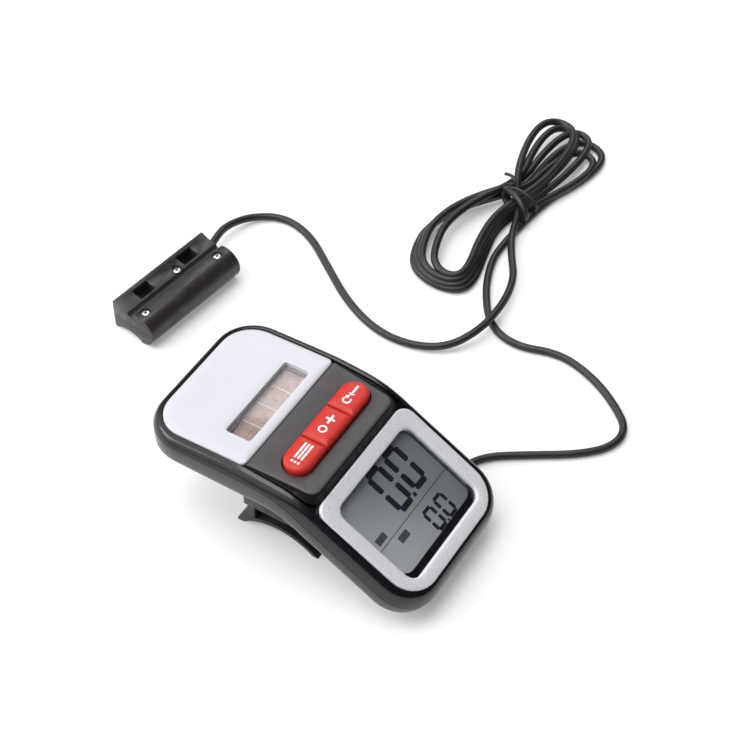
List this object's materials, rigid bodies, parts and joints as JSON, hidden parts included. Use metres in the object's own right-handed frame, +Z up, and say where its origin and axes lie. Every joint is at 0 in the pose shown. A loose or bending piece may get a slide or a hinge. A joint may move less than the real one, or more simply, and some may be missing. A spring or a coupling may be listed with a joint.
{
  "type": "cycling computer",
  "caption": "Small cycling computer with tilted display, solar strip and red buttons on a handlebar bracket, wired by a tied cable to a fork sensor.",
  "frame": {"origin": "on the floor, midway between the two feet of the bracket's handlebar saddle", "axes": "+Z up; +X to the rider's right; +Y forwards, from the display towards the solar panel"},
  "size_m": [0.1834, 0.1383, 0.032],
  "materials": {
    "gloss_black": "gloss",
    "dark_plastic": "satin",
    "band_grey": "satin",
    "white_gloss": "gloss",
    "silver": "satin with a fine sparkle",
    "red": "satin",
    "clear": "clear",
    "lcd": "satin",
    "cell": "satin",
    "board": "satin",
    "steel": "polished",
    "brass": "plated",
    "soft_grey": "matte",
    "ribbon": "satin",
    "rubber": "satin"
  },
  "bodies": {
    "bracket": {"handlebar_bracket": "dark_plastic", "bracket_pins": "brass", "strain_relief": "rubber", "cord_unit_run": "rubber", "cord_hank": "rubber", "cord_sensor_run": "rubber", "hank_tie": "rubber", "sensor_upper_shell": "dark_plastic", "sensor_lower_shell": "dark_plastic", "sensor_board": "board", "reed_switch": "clear", "sensor_screws": "steel"},
    "head": {"top_shell": "gloss_black", "bottom_shell": "gloss_black", "solar_panel_cover": "white_gloss", "solar_window": "clear", "solar_cells": "cell", "solar_backing": "dark_plastic", "button_band": "band_grey", "display_bezel": "silver", "display_lens": "clear", "display_panel": "lcd", "contact_strips": "soft_grey", "display_board": "board", "chip_blob": "dark_plastic", "quartz_crystal": "steel", "key_board": "board", "snap_domes": "steel", "keypad_sheet": "soft_grey", "ribbon_link": "ribbon", "coin_cell": "steel", "battery_contact_negative": "steel", "battery_contact_positive": "steel", "case_screws": "steel", "foot_pads": "brass"},
    "mode_button": {"button_mode": "red"},
    "set_button": {"button_set": "red"},
    "reset_button": {"button_reset": "red"},
    "door": {"battery_door": "dark_plastic", "door_seal": "rubber"}
  },
  "joints": [
    {"name": "head_slide", "type": "slide", "parent": "bracket", "child": "head", "axis": [0, -1, 0], "range_m": [0, 0.02]},
    {"name": "mode_press", "type": "slide", "parent": "head", "child": "mode_button", "axis": [0, 0, -1], "range_m": [0, 0.0005], "stiffness_N_per_m": 200, "springref_m": -0.001},
    {"name": "set_press", "type": "slide", "parent": "head", "child": "set_button", "axis": [0, 0, -1], "range_m": [0, 0.0005], "stiffness_N_per_m": 200, "springref_m": -0.001},
    {"name": "reset_press", "type": "slide", "parent": "head", "child": "reset_button", "axis": [0, 0, -1], "range_m": [0, 0.0005], "stiffness_N_per_m": 200, "springref_m": -0.001},
    {"name": "door_turn", "type": "hinge", "parent": "head", "child": "door", "pos_m": [0, 0.0202, 0.0215], "axis": [0, 0, -1], "range_deg": [0, 60]}
  ]
}
